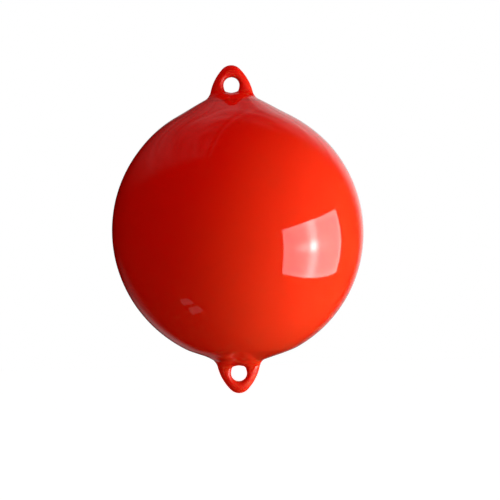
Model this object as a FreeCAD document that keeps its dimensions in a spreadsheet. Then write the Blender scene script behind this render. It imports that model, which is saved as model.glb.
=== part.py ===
"""Anchor buoy: an inflatable vinyl ball with a moulded rope eye at each end.

Frame: millimetres, +Z up along the axis through both eyes, origin on that axis at the
waterline of the floating buoy. The holes of the eyes run along Y, and the inflation valve
is on the +Y side of the upper shoulder.

Each body is drawn in a frame of its own and then placed. The ball and the eyes are drawn
from the middle of the ball's widest circle, the lower eye as if it were the upper one. The
valve's pieces are drawn from the skin at the valve, with +Z pointing outwards.
"""

import FreeCAD, Part
import math
import os
import re

import Sketcher
from FreeCAD import Placement, Rotation, Vector

# Driving dimensions: millimetres.
SIZES = {
    # ball
    "ball_radius": 151.8,       # widest circle
    "axis_offset": 7.3,         # how far the meridian's centre lies beyond the axis
    "wall": 3.0,                # vinyl skin
    "float_height": 102.0,      # widest circle above the water
    "upper_cone_reach": 33.0,   # straight shoulder, outwards from the upper seam
    "lower_cone_reach": 14.0,   # straight shoulder, outwards from the lower seam
    # roots of the eyes
    "seam_radius": 36.0,        # where the skin is welded to an eye
    "flange_reach": 9.0,        # inner flange beyond the seam
    "flange_thick": 4.0,        # inner flange at its rim
    "crown_flat": 19.0,         # radius of the flat top of the root
    # lugs
    "upper_eye_rise": 19.8,     # hole's centre above the upper seam
    "lower_eye_rise": 17.1,     # hole's centre beyond the lower seam
    "bore_radius": 9.75,        # hole for a rope or shackle
    "ring_side": 13.2,          # material beside the hole
    "ring_top": 14.2,           # material beyond the hole
    "tip_radius": 14.4,         # round end of the lug
    "flank_radius": 58.6,       # long side of the lug
    "lug_thick": 19.0,
    "bullnose": 8.0,            # rounding of the lug's outer edges
    "mouth": 3.8,               # rounding of the hole's edges
    "foot_flare": 4.0,          # how far the lug's foot spreads over the crown
    # valve
    "valve_gap": 4.5,           # inside the ball, from the eye's flange to the seat's collar
    "seat_radius": 11.0,
    "seat_proud": 1.0,          # rim of the seat above the skin
    "seat_rim": 2.2,            # width of the rim round the recess
    "recess_depth": 2.2,        # floor of the recess below the skin
    "collar_lip": 2.5,          # collar beyond the seat, under the skin
    "collar_gap": 1.1,          # under the skin, which curves away from the flat collar
    "collar_thick": 2.5,
    "stem_wall": 2.8,           # round the thread, inside the ball
    "stem_length": 13.0,        # from the skin to the stem's end
    "gasket_thick": 1.0,
    "gasket_clearance": 0.2,    # gasket's edge from the recess
    "head_clearance": 1.2,      # plug's head from the recess
    "head_height": 2.4,
    "head_edge": 0.7,           # rounding of the head
    "shank_radius": 4.0,
    "shank_clearance": 0.2,     # thread and gasket round the shank
    "shank_spare": 2.8,         # shank's end short of the stem's end
    "slot_width": 1.6,
    "slot_depth": 1.3,
}

NEAR = 1e-6             # millimetres within which two places are the same
BULLNOSE_LIMIT = 0.45   # largest rounding of the lug, as a share of its thickness
MOUTH_LIMIT = 0.9       # largest rounding of the hole, as a share of the flat ring round it
OUTWARDS = Vector(0, 0, 1)

# Sketcher's numbers for a piece's points and for the sketch's own origin and axes.
START, END, CENTRE = 1, 2, 3
ORIGIN = (-1, 1)
ACROSS, UPRIGHT = -1, -2

doc = FreeCAD.newDocument("AnchorBuoy")
sheet = doc.addObject("Spreadsheet::Sheet", "Sizes")
for row, (alias, number) in enumerate(SIZES.items(), start=1):
    sheet.set(f"A{row}", alias)
    sheet.set(f"B{row}", str(number))
    sheet.setAlias(f"B{row}", alias)
doc.recompute()


def cells(formula):
    """Formula in plain names, such as "wall / 2", as an expression of the sheet's cells."""
    return re.sub(r"\b[a-z_]+\b", lambda m: f"Sizes.{m[0]}" if m[0] in SIZES else m[0], formula)


def value(formula):
    """Number that a formula gives now."""
    return float(sheet.evalExpression(cells(formula)))


# ---------------------------------------------------------------- derived dimensions
# Each is a formula, so that whatever is bound to it follows the sheet.

MERIDIAN = "(ball_radius + axis_offset)"
INNER_MERIDIAN = "(ball_radius + axis_offset - wall)"
FLANGE_RADIUS = "(seam_radius + flange_reach)"
COLLAR_RADIUS = "(seat_radius + collar_lip)"
VALVE_REACH = f"(flange_reach + valve_gap + {COLLAR_RADIUS})"
RECESS_RADIUS = "(seat_radius - seat_rim)"
RECESS_FLOOR = "(-1 * recess_depth)"
GASKET_TOP = "(gasket_thick - recess_depth)"
THREAD_RADIUS = "(shank_radius + shank_clearance)"
LUG_HALF_WIDTH = "(bore_radius + ring_side)"
BULLNOSE = f"min(bullnose; {BULLNOSE_LIMIT} * lug_thick)"
MOUTH = f"min(mouth; {MOUTH_LIMIT} * (ring_side - {BULLNOSE}))"


class Shoulder:
    """Heights at one end of the ball, from its straight shoulder up to the eye's hole."""

    def __init__(self, end):
        self.end = end
        reach = f"{end}_cone_reach"
        self.slope = f"asin((seam_radius + {reach} + axis_offset) / {MERIDIAN})"
        self.seam = f"({MERIDIAN} * cos({self.slope}) + {reach} * tan({self.slope}))"
        self.inner_seam = f"({self.seam} - wall / cos({self.slope}))"
        self.flange = f"({self.inner_seam} - flange_reach * tan({self.slope}))"
        self.root = f"({self.flange} - flange_thick)"
        self.crown_radius = f"((seam_radius - crown_flat) / sin({self.slope}))"
        self.crown = f"({self.seam} + {self.crown_radius} * (1 - cos({self.slope})))"
        self.hole = f"({self.seam} + {end}_eye_rise)"


UPPER = Shoulder("upper")
LOWER = Shoulder("lower")


# ---------------------------------------------------------------- drawing

class Drawing:
    """Sketch on one of a body's origin planes, with its dimensions bound to the sheet."""

    def __init__(self, body, name, plane_role):
        self.sketch = body.newObject("Sketcher::SketchObject", name)
        plane = next(f for f in body.Origin.OriginFeatures if f.Role == plane_role)
        self.sketch.AttachmentSupport = [(plane, "")]
        self.sketch.MapMode = "FlatFace"

    def rule(self, kind, *where):
        """Constraint that has no dimension."""
        self.sketch.addConstraint(Sketcher.Constraint(kind, *where))

    def dimension(self, kind, where, formula):
        """Constraint whose number follows a formula."""
        index = self.sketch.addConstraint(Sketcher.Constraint(kind, *where, value(formula)))
        self.sketch.setExpression(f"Constraints[{index}]", cells(formula))

    def place(self, point, x, y):
        """Fix a point, given as (piece, end), at two formulas; "0" puts it on an axis."""
        for kind, axis, formula in (("DistanceX", UPRIGHT, x), ("DistanceY", ACROSS, y)):
            if formula == "0":
                self.rule("PointOnObject", *point, axis)
            elif value(formula) > 0:
                self.dimension(kind, (*ORIGIN, *point), formula)
            else:
                self.dimension(kind, (*point, *ORIGIN), f"-1 * ({formula})")

    def line(self, start, end):
        """Straight line between two places."""
        return self.sketch.addGeometry(Part.LineSegment(start, end), False)

    def closing_line(self, first, second):
        """Straight line from the end of one piece to the start or end of another."""
        line = self.line(self.sketch.getPoint(*first), self.sketch.getPoint(*second))
        self.rule("Coincident", *first, line, START)
        self.rule("Coincident", line, END, *second)
        return line

    def arc(self, centre, radius, low, high):
        """Arc from one angle to another, in degrees from the sketch's X axis."""
        whole = Part.Circle(centre, OUTWARDS, radius)
        arc = Part.ArcOfCircle(whole, math.radians(low), math.radians(high))
        return self.sketch.addGeometry(arc, False)

    def circle(self, x, y, radius):
        """Circle whose centre and radius are formulas."""
        centre = Vector(value(x), value(y), 0)
        circle = self.sketch.addGeometry(Part.Circle(centre, OUTWARDS, value(radius)), False)
        self.dimension("Radius", (circle,), radius)
        self.place((circle, CENTRE), x, y)

    def path(self, corners):
        """Straight lines through corners that are pairs of formulas."""
        points = [Vector(value(x), value(y), 0) for x, y in corners]
        lines = [self.line(*ends) for ends in zip(points, points[1:])]
        for line, corner in zip(lines, corners):
            self.place((line, START), *corner)
        for line, following in zip(lines, lines[1:]):
            self.rule("Coincident", line, END, following, START)
        return lines

    def outline(self, corners):
        """Closed outline of straight lines through corners that are pairs of formulas."""
        lines = self.path(corners)
        self.place((lines[-1], END), *corners[-1])
        self.closing_line((lines[-1], END), (lines[0], START))


def new_body(label):
    """Empty body whose label names the piece."""
    body = doc.addObject("PartDesign::Body", label)
    body.Label = label
    return body


def add_feature(body, kind, name, drawing):
    """Feature of a body, made from a drawing."""
    feature = body.newObject(f"PartDesign::{kind}", name)
    feature.Profile = drawing.sketch
    return feature


def revolve(body, name, drawing, degrees=360.0):
    """Turn of a drawing about its own upright axis."""
    feature = add_feature(body, "Revolution", name, drawing)
    feature.ReferenceAxis = (drawing.sketch, ["V_Axis"])
    feature.Angle = degrees
    doc.recompute()
    return feature


def revolve_in_quarters(body, name, drawing):
    """Full turn made of four like quarters, which keeps edges in the XZ and YZ planes."""
    quarter = revolve(body, f"{name}Quarter", drawing, 90.0)
    ring = body.newObject("PartDesign::PolarPattern", name)
    ring.Originals = [quarter]
    ring.Axis = (drawing.sketch, ["V_Axis"])
    ring.Angle = 360.0
    ring.Occurrences = 4
    ring.Refine = False
    body.Tip = ring
    doc.recompute()


def cut(body, name, drawing, length=None):
    """Pocket both ways from a drawing: through everything, or as long as a formula says."""
    before = body.Shape.Volume
    feature = add_feature(body, "Pocket", name, drawing)
    feature.SideType = "Symmetric"
    if length is None:
        feature.Type = "ThroughAll"
    else:
        feature.setExpression("Length", cells(length))
    doc.recompute()
    if not feature.Shape.Volume < before:
        raise RuntimeError(f"{name} cuts nothing")
    return feature


def round_edges(body, name, base, picked, radius):
    """Fillet of the edges of a feature that a test picks; the radius is a formula."""
    edges = [f"Edge{i}" for i, edge in enumerate(base.Shape.Edges, start=1) if picked(edge)]
    feature = body.newObject("PartDesign::Fillet", name)
    feature.Base = (base, edges)
    feature.setExpression("Radius", cells(radius))
    doc.recompute()


# ---------------------------------------------------------------- ball

def draw_skin_face(drawing, radius, upper_seam, lower_seam):
    """One face of the skin: the meridian arc and its two straight shoulders."""
    centre = Vector(-value("axis_offset"), 0, 0)
    high = 90 - value(UPPER.slope)
    low = value(LOWER.slope) - 90
    arc = drawing.arc(centre, value(radius), low, high)
    drawing.dimension("Radius", (arc,), radius)
    drawing.place((arc, CENTRE), "-1 * axis_offset", "0")
    shoulders = []
    for end, seam in ((END, upper_seam), (START, f"-1 * {lower_seam}")):
        seam_point = Vector(value("seam_radius"), value(seam), 0)
        shoulder = drawing.line(drawing.sketch.getPoint(arc, end), seam_point)
        drawing.rule("Tangent", arc, end, shoulder, START)
        drawing.place((shoulder, END), "seam_radius", seam)
        shoulders.append(shoulder)
    return shoulders


def put_at_valve(thing, prop, widest_circle):
    """Bind a placement to the valve's spot on the upper shoulder, square to the skin."""
    setattr(thing, prop, Placement(Vector(), Rotation(Vector(1, 0, 0), -value(UPPER.slope))))
    height = f"{widest_circle} + {UPPER.seam} - {VALVE_REACH} * tan({UPPER.slope})"
    thing.setExpression(f"{prop}.Base.y", cells(f"seam_radius + {VALVE_REACH}"))
    thing.setExpression(f"{prop}.Base.z", cells(height))
    thing.setExpression(f"{prop}.Rotation.Angle", cells(f"-1 * {UPPER.slope}"))


def make_shell():
    """Hollow vinyl ball, open at both seams and at the valve."""
    body = new_body("buoy_shell")
    section = Drawing(body, "ShellSection", "XZ_Plane")
    outer = draw_skin_face(section, MERIDIAN, UPPER.seam, LOWER.seam)
    inner = draw_skin_face(section, INNER_MERIDIAN, UPPER.inner_seam, LOWER.inner_seam)
    for outer_shoulder, inner_shoulder in zip(outer, inner):
        section.closing_line((outer_shoulder, END), (inner_shoulder, END))
    revolve_in_quarters(body, "Skin", section)
    opening = Drawing(body, "ValveOpeningOutline", "XY_Plane")
    put_at_valve(opening.sketch, "AttachmentOffset", "0")
    opening.circle("0", "0", "seat_radius")
    cut(body, "ValveOpening", opening, "4 * (wall + seat_proud)").Refine = False
    doc.recompute()
    body.setExpression("Placement.Base.z", cells("float_height"))
    return body


# ---------------------------------------------------------------- eyes

def left_meeting_point(first, first_radius, second, second_radius):
    """Crossing of two circles, the one further to the left."""
    across = second - first
    span = across.Length
    along = (first_radius ** 2 - second_radius ** 2 + span ** 2) / (2 * span)
    rise = math.sqrt(first_radius ** 2 - along ** 2)
    across.normalize()
    square = Vector(-across.y, across.x, 0)
    crossings = [first + across * along + square * rise * side for side in (1, -1)]
    return min(crossings, key=lambda crossing: crossing.x)


def draw_lug(body, shoulder):
    """Lug seen along its hole: a round tip and two long flanks that run into the root."""
    drawing = Drawing(body, f"{shoulder.end}LugOutline", "XZ_Plane")
    tip_height = f"({shoulder.hole} + bore_radius + ring_top - tip_radius)"
    tip, flank = value("tip_radius"), value("flank_radius")
    tip_centre = Vector(0, value(tip_height), 0)
    beside_hole = Vector(value(LUG_HALF_WIDTH), value(shoulder.hole), 0)
    flank_centre = left_meeting_point(tip_centre, flank - tip, beside_hole, flank)
    join = tip_centre - flank_centre
    join_angle = math.degrees(math.atan2(join.y, join.x))
    foot_angle = math.degrees(math.asin((value(shoulder.inner_seam) - flank_centre.y) / flank))
    other_centre = Vector(-flank_centre.x, flank_centre.y, 0)

    right = drawing.arc(flank_centre, flank, foot_angle, join_angle)
    top = drawing.arc(tip_centre, tip, join_angle, 180 - join_angle)
    left = drawing.arc(other_centre, flank, 180 - join_angle, 180 - foot_angle)
    drawing.rule("Tangent", right, END, top, START)
    drawing.rule("Tangent", top, END, left, START)
    base = drawing.closing_line((left, END), (right, START))
    drawing.rule("Horizontal", base)
    drawing.rule("Symmetric", right, CENTRE, left, CENTRE, UPRIGHT)
    drawing.dimension("Radius", (top,), "tip_radius")
    drawing.dimension("Radius", (right,), "flank_radius")
    drawing.dimension("Radius", (left,), "flank_radius")
    drawing.dimension("DistanceY", (*ORIGIN, top, CENTRE), tip_height)
    drawing.dimension("DistanceY", (*ORIGIN, base, END), shoulder.inner_seam)
    mark = drawing.sketch.addGeometry(Part.Point(beside_hole), True)
    drawing.rule("PointOnObject", mark, START, right)
    drawing.place((mark, START), LUG_HALF_WIDTH, shoulder.hole)
    return drawing


def add_lug(body, shoulder):
    """Lug with its outer edges rounded, bored, and the hole's edges rounded."""
    end = shoulder.end
    lug = add_feature(body, "Pad", f"{end}Lug", draw_lug(body, shoulder))
    lug.SideType = "Symmetric"
    lug.setExpression("Length", cells("lug_thick"))
    doc.recompute()
    half, base = value("lug_thick / 2"), value(shoulder.inner_seam)
    bore = value("bore_radius")

    def on_outline(edge):
        middle = edge.valueAt((edge.FirstParameter + edge.LastParameter) / 2)
        return abs(abs(middle.y) - half) < NEAR and middle.z > base + NEAR

    def on_mouth(edge):
        return isinstance(edge.Curve, Part.Circle) and abs(edge.Curve.Radius - bore) < NEAR

    round_edges(body, f"{end}Bullnose", lug, on_outline, BULLNOSE)
    hole = Drawing(body, f"{end}HoleOutline", "XZ_Plane")
    hole.circle("0", shoulder.hole, "bore_radius")
    bored = cut(body, f"{end}Hole", hole)
    round_edges(body, f"{end}Mouth", bored, on_mouth, MOUTH)


def add_foot(body, shoulder):
    """Flared foot: a slot-shaped pad that narrows from inside the crown up to the lug."""
    drawing = Drawing(body, f"{shoulder.end}FootOutline", "XY_Plane")
    drawing.sketch.setExpression("AttachmentOffset.Base.z", cells(f"{shoulder.crown} - foot_flare"))
    end_radius = "(lug_thick / 2 + 2 * foot_flare)"
    half_run = f"({LUG_HALF_WIDTH} + 2 * foot_flare - {end_radius})"
    radius, run = value(end_radius), value(half_run)
    right = drawing.arc(Vector(run, 0, 0), radius, -90, 90)
    left = drawing.arc(Vector(-run, 0, 0), radius, 90, 270)
    back = drawing.line(Vector(run, radius, 0), Vector(-run, radius, 0))
    front = drawing.line(Vector(-run, -radius, 0), Vector(run, -radius, 0))
    for first, second in ((right, back), (back, left), (left, front), (front, right)):
        drawing.rule("Tangent", first, END, second, START)
    drawing.rule("Symmetric", right, CENTRE, left, CENTRE, *ORIGIN)
    drawing.dimension("Radius", (right,), end_radius)
    drawing.place((right, CENTRE), half_run, "0")
    foot = add_feature(body, "Pad", f"{shoulder.end}Foot", drawing)
    foot.setExpression("Length", cells("2 * foot_flare"))
    foot.TaperAngle = -45.0
    doc.recompute()


def add_root(body, shoulder):
    """Turned root: crown flush with the skin, plug in the ball's opening, inner flange."""
    drawing = Drawing(body, f"{shoulder.end}RootSection", "XZ_Plane")
    lines = drawing.path([
        ("seam_radius", shoulder.seam),
        ("seam_radius", shoulder.inner_seam),
        (FLANGE_RADIUS, shoulder.flange),
        (FLANGE_RADIUS, shoulder.root),
        ("0", shoulder.root),
        ("0", shoulder.crown),
        ("crown_flat", shoulder.crown),
    ])
    drawing.place((lines[-1], END), "crown_flat", shoulder.crown)
    radius = value(shoulder.crown_radius)
    centre = Vector(value("crown_flat"), value(shoulder.crown) - radius, 0)
    crown = drawing.arc(centre, radius, 90 - value(shoulder.slope), 90)
    drawing.rule("Tangent", crown, END, lines[-1], END)
    drawing.rule("Coincident", crown, START, lines[0], START)
    revolve(body, f"{shoulder.end}Root", drawing)


def make_eye(shoulder):
    """Solid moulded rope eye; the lower one is turned over."""
    body = new_body(f"{shoulder.end}_eye")
    add_lug(body, shoulder)
    add_foot(body, shoulder)
    add_root(body, shoulder)
    if shoulder is LOWER:
        body.Placement = Placement(Vector(), Rotation(Vector(0, 1, 0), 180))
    body.setExpression("Placement.Base.z", cells("float_height"))
    return body


# ---------------------------------------------------------------- valve

def make_turned(label, corners):
    """Turned piece of the valve, square to the skin; returns the body and its feature."""
    body = new_body(label)
    section = Drawing(body, f"{label}Section", "XZ_Plane")
    section.outline(corners)
    turned = revolve(body, f"{label}Turned", section)
    put_at_valve(body, "Placement", "float_height")
    return body, turned


def make_valve_seat():
    """Moulded seat: rim and recess outside, collar and threaded stem inside the ball."""
    collar_top = "-1 * (wall + collar_gap)"
    collar_low = "-1 * (wall + collar_gap + collar_thick)"
    stem_radius = f"{THREAD_RADIUS} + stem_wall"
    stem_end = "-1 * stem_length"
    body, _ = make_turned("valve_seat", [
        (RECESS_RADIUS, "seat_proud"),
        ("seat_radius", "seat_proud"),
        ("seat_radius", collar_top),
        (COLLAR_RADIUS, collar_top),
        (COLLAR_RADIUS, collar_low),
        (stem_radius, collar_low),
        (stem_radius, stem_end),
        (THREAD_RADIUS, stem_end),
        (THREAD_RADIUS, RECESS_FLOOR),
        (RECESS_RADIUS, RECESS_FLOOR),
    ])
    return body


def make_valve_gasket():
    """Rubber washer between the plug's head and the floor of the recess."""
    rim = f"{RECESS_RADIUS} - gasket_clearance"
    body, _ = make_turned("valve_gasket", [
        (THREAD_RADIUS, RECESS_FLOOR),
        (rim, RECESS_FLOOR),
        (rim, GASKET_TOP),
        (THREAD_RADIUS, GASKET_TOP),
    ])
    return body


def make_valve_plug():
    """Screw plug: a slotted head on a shank."""
    head_radius = f"({RECESS_RADIUS} - head_clearance)"
    head_top = f"({GASKET_TOP} + head_height)"
    shank_end = "(shank_spare - stem_length)"
    body, turned = make_turned("valve_plug", [
        ("0", shank_end),
        ("shank_radius", shank_end),
        ("shank_radius", GASKET_TOP),
        (head_radius, GASKET_TOP),
        (head_radius, head_top),
        ("0", head_top),
    ])
    height, radius = value(head_top), value(head_radius)

    def on_rim(edge):
        point = edge.valueAt(edge.FirstParameter)
        return abs(point.z - height) < NEAR and abs(math.hypot(point.x, point.y) - radius) < NEAR

    round_edges(body, "HeadEdge", turned, on_rim, "head_edge")
    slot = Drawing(body, "SlotSection", "XZ_Plane")
    floor, above = f"{head_top} - slot_depth", f"{head_top} + slot_depth"
    slot.outline([
        ("-1 * slot_width / 2", floor),
        ("slot_width / 2", floor),
        ("slot_width / 2", above),
        ("-1 * slot_width / 2", above),
    ])
    cut(body, "Slot", slot)
    return body


# ---------------------------------------------------------------- checks and files

def check_document():
    """Stop if any object of the document failed to build."""
    for item in doc.Objects:
        if any(word in state for state in item.State for word in ("Invalid", "Error")):
            raise RuntimeError(f"{item.Name}: {item.State}")


def export(body):
    """Write a body's shape to its own file, and print its size."""
    shape = body.Shape
    if shape.isNull() or not shape.isValid() or len(shape.Solids) != 1:
        raise RuntimeError(f"{body.Label} is not one valid solid")
    shape.exportStep(os.path.join("parts", f"{body.Label}.step"))
    box = shape.BoundBox
    print(f"{body.Label}: {shape.Volume:.0f} mm3, x {box.XMin:.1f} to {box.XMax:.1f}, "
          f"y {box.YMin:.1f} to {box.YMax:.1f}, z {box.ZMin:.1f} to {box.ZMax:.1f}")


pieces = [
    make_shell(),
    make_eye(UPPER),
    make_eye(LOWER),
    make_valve_seat(),
    make_valve_gasket(),
    make_valve_plug(),
]
doc.recompute()
check_document()
os.makedirs("parts", exist_ok=True)
for piece in pieces:
    export(piece)
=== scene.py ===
"""Anchor buoy: a glossy red vinyl ball with a moulded rope eye at each end and a valve behind.

Sizes are in millimetres where they are written, as a maker would give them, and every mesh is
made in metres in the row frame: +Z up through both eyes, the origin at the waterline, the
holes of the eyes along Y and the valve on the +Y side of the upper shoulder.
"""

import logging
import math
from collections.abc import Callable, Iterable, Sequence
from dataclasses import dataclass, field
from enum import Enum

import bmesh
import bpy
import numpy as np
from mathutils import Matrix, Vector


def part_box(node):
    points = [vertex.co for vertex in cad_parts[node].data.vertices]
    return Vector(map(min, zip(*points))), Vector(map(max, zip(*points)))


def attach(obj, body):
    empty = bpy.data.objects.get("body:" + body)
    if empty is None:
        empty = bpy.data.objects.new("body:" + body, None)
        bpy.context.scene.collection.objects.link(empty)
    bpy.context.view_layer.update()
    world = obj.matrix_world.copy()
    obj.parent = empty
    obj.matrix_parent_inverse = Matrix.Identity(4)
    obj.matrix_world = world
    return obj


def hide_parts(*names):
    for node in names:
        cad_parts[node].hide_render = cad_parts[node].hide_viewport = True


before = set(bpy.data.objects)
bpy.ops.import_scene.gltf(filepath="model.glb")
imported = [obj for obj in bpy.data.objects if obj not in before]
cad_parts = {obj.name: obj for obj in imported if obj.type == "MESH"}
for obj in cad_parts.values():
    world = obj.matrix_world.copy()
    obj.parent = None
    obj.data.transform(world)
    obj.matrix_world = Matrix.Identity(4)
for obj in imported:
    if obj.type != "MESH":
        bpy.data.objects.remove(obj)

MM = 0.001                      # metres in a millimetre
BODY = "root"                   # the CAD body that every piece rides on
SHARP = math.radians(35.0)      # an edge that bends more is shaded sharp
WHITE = (1.0, 1.0, 1.0, 1.0)
BLACK = (0.0, 0.0, 0.0, 1.0)
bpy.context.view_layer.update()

Point = tuple[float, float, float]
Face = tuple[int, ...]

log = logging.getLogger("anchor_buoy")


class End(Enum):
    """One end of the ball; the value is the direction along Z in which its eye points."""

    UPPER = 1
    LOWER = -1


class Ray(Enum):
    """Kind of ray that a thing in the studio can be hidden from."""

    CAMERA = "visible_camera"
    DIFFUSE = "visible_diffuse"
    SHADOW = "visible_shadow"
    TRANSMISSION = "visible_transmission"


# ---------------------------------------------------------------- node trees

class Wire:
    """A node's output, which goes into sums as a plain number does."""

    def __init__(self, tree: "Tree", socket: bpy.types.NodeSocket) -> None:
        """Keep the output and the tree that it is in."""
        self.tree, self.socket = tree, socket

    def __add__(self, other: "Number") -> "Wire":
        """This number and another."""
        return self.tree.math("ADD", self, other)

    def __sub__(self, other: "Number") -> "Wire":
        """This number less another."""
        return self.tree.math("SUBTRACT", self, other)

    def __rsub__(self, other: float) -> "Wire":
        """A plain number less this one."""
        return self.tree.math("SUBTRACT", other, self)

    def __mul__(self, other: "Number") -> "Wire":
        """This number times another."""
        return self.tree.math("MULTIPLY", self, other)

    def __truediv__(self, other: "Number") -> "Wire":
        """This number divided by another."""
        return self.tree.math("DIVIDE", self, other)

    __radd__ = __add__
    __rmul__ = __mul__


Number = float | Wire


class Tree:
    """A node tree being built, with short ways to place and join its nodes."""

    def __init__(self, tree: bpy.types.NodeTree) -> None:
        """Keep the tree that the nodes go in."""
        self.tree = tree

    def add(self, kind: str, values: dict[str | int, object] | None = None,
            **settings: object) -> bpy.types.Node:
        """Place a node.

        Args:
            kind: Blender's name for the kind of node.
            values: What each input gets: another node's output, or a plain value.
            settings: The node's own properties.

        Returns:
            The new node.
        """
        node = self.tree.nodes.new(kind)
        for name, setting in settings.items():
            setattr(node, name, setting)
        for name, value in (values or {}).items():
            self.feed(node.inputs[name], value)
        return node

    def feed(self, socket: bpy.types.NodeSocket, value: object) -> None:
        """Join an output to an input, or set the input to a plain value.

        Args:
            socket: The input.
            value: The output or the plain value.
        """
        if isinstance(value, Wire):
            self.tree.links.new(value.socket, socket)
        else:
            socket.default_value = value

    def wire(self, kind: str, values: dict[str | int, object] | None = None,
             output: str | int = 0, **settings: object) -> Wire:
        """Output of a new node, by its name or number."""
        return Wire(self, self.add(kind, values, **settings).outputs[output])

    def wires(self, kind: str, values: dict[str | int, object] | None = None,
              **settings: object) -> dict[str, Wire]:
        """All outputs of a new node by name."""
        node = self.add(kind, values, **settings)
        return {socket.name: Wire(self, socket) for socket in node.outputs}

    def math(self, operation: str, *values: Number) -> Wire:
        """Result of a Math node on one or two numbers."""
        return self.wire("ShaderNodeMath", dict(enumerate(values)), operation=operation)

    def vector(self, x: Number = 0.0, y: Number = 0.0, z: Number = 0.0) -> Wire:
        """Vector made of three numbers."""
        return self.wire("ShaderNodeCombineXYZ", {"X": x, "Y": y, "Z": z})

    def parts(self, vector: Wire) -> list[Wire]:
        """The three numbers in a vector."""
        return list(self.wires("ShaderNodeSeparateXYZ", {"Vector": vector}).values())

    def dot(self, first: Wire, second: Point) -> Wire:
        """Product of two vectors, as a number."""
        return self.wire("ShaderNodeVectorMath", {0: first, 1: second}, "Value",
                         operation="DOT_PRODUCT")

    def smooth_step(self, value: Number, low: Number, high: Number, start: Number = 0.0,
                    end: Number = 1.0) -> Wire:
        """Smooth change from start to end as a value goes from low to high."""
        return self.wire("ShaderNodeMapRange", {
            "Value": value, "From Min": low, "From Max": high, "To Min": start, "To Max": end,
        }, interpolation_type="SMOOTHSTEP")

    def bell(self, value: Wire, width: float) -> Wire:
        """One where a value is zero, falling away over a width."""
        share = value / width
        return self.math("EXPONENT", share * share * -1.0)

    def noise(self, place: Wire, scale: Number, detail: float, roughness: float = 0.5) -> Wire:
        """Soft noise from 0 to 1."""
        return self.wire("ShaderNodeTexNoise", {
            "Vector": place, "Scale": scale, "Detail": detail, "Roughness": roughness})

    def mix(self, share: Wire, first: Wire, second: Wire) -> Wire:
        """Mix of two surfaces: all of the first at 0, all of the second at 1."""
        return self.wire("ShaderNodeMixShader", {0: share, 1: first, 2: second})

    def matt(self, colour: tuple[float, ...]) -> Wire:
        """Matt surface of one colour."""
        return self.wire("ShaderNodeBsdfDiffuse", {"Color": colour})

    def light(self, strength: Number) -> Wire:
        """Surface that gives off white light."""
        return self.wire("ShaderNodeEmission", {"Color": WHITE, "Strength": strength})

    def show(self, surface: Wire) -> None:
        """Make a surface the one that the material shows."""
        self.add("ShaderNodeOutputMaterial", {"Surface": surface})

    def join(self, parts: Iterable[Wire]) -> Wire:
        """Several geometries as one.

        Args:
            parts: The geometries, in order.

        Returns:
            The joined geometry.
        """
        joined = self.add("GeometryNodeJoinGeometry")
        for part in parts:
            self.feed(joined.inputs[0], part)
        return Wire(self, joined.outputs[0])

    def transform(self, geometry: Wire, shift: Wire, turn: Number | Point = (0.0, 0.0, 0.0)) -> Wire:
        """Geometry turned about the origin and then shifted."""
        return self.wire("GeometryNodeTransform", {
            "Geometry": geometry, "Translation": shift, "Rotation": turn})

    def dressed(self, geometry: Wire, finish: Wire) -> Wire:
        """Geometry with its instances made real and its material set."""
        real = self.wire("GeometryNodeRealizeInstances", {"Geometry": geometry})
        return self.wire("GeometryNodeSetMaterial", {"Geometry": real, "Material": finish})


class Group(Tree):
    """A node group being built, with named inputs and outputs."""

    def __init__(self, name: str, kind: str, inputs: dict[str, object],
                 outputs: dict[str, str]) -> None:
        """Start the group.

        Args:
            name: The group's name.
            kind: ShaderNodeTree or GeometryNodeTree.
            inputs: Default of each input by name, or the kind of an input without one.
            outputs: Kind of each output by name.
        """
        super().__init__(bpy.data.node_groups.new(name, kind))
        new_socket = self.tree.interface.new_socket
        for label, default in inputs.items():
            socket = new_socket(label, in_out="INPUT", socket_type=socket_kind(default))
            if isinstance(default, (int, float, tuple, Vector)):
                socket.default_value = default
        for label, output in outputs.items():
            new_socket(label, in_out="OUTPUT", socket_type=socket_kind(output))
        self.given = self.wires("NodeGroupInput")
        self.result = self.add("NodeGroupOutput")

    def finish(self, **results: Wire) -> bpy.types.NodeTree:
        """Join the results to the outputs.

        Args:
            results: The result for each output.

        Returns:
            The finished group.
        """
        for label, result in results.items():
            self.feed(self.result.inputs[label], result)
        return self.tree


def socket_kind(value: object) -> str:
    """Blender's name for the kind of socket that holds a value.

    Args:
        value: The value, or the kind of socket in a word.

    Returns:
        The name.
    """
    words = {int: "Int", float: "Float", str: value, bpy.types.Material: "Material",
             bpy.types.Object: "Object"}
    word = words.get(type(value)) or ("Color" if len(value) == len(WHITE) else "Vector")
    return f"NodeSocket{word}"


def grow(name: str, make: Callable[[dict[str, object]], bpy.types.NodeTree],
         sizes: dict[str, object]) -> bpy.types.Object:
    """Plain mesh object made by a geometry node group.

    Args:
        name: The new object's name.
        make: Function that makes the group, with the sizes as its named inputs.
        sizes: The value of each input.

    Returns:
        The object, with the modifier's result as its own mesh.
    """
    piece = link(bpy.data.objects.new(name, bpy.data.meshes.new(name)))
    modifier = piece.modifiers.new("Build", "NODES")
    modifier.node_group = make(sizes)
    sockets = {item.name: item.identifier for item in modifier.node_group.interface.items_tree
               if item.item_type == "SOCKET" and item.in_out == "INPUT"}
    for label, size in sizes.items():
        modifier[sockets[label]] = size
    piece.data = evaluated(piece)
    piece.modifiers.clear()
    piece.data.name = name
    return piece


def new_material(name: str) -> tuple[bpy.types.Material, Tree]:
    """Start a material.

    Args:
        name: The material's name.

    Returns:
        The material and its empty node tree.
    """
    material = bpy.data.materials.new(name)
    material.use_nodes = True
    material.node_tree.nodes.clear()
    return material, Tree(material.node_tree)


# ---------------------------------------------------------------- meshes

def link(thing: bpy.types.Object) -> bpy.types.Object:
    """Put an object in the scene and return it."""
    bpy.context.scene.collection.objects.link(thing)
    return thing


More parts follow.
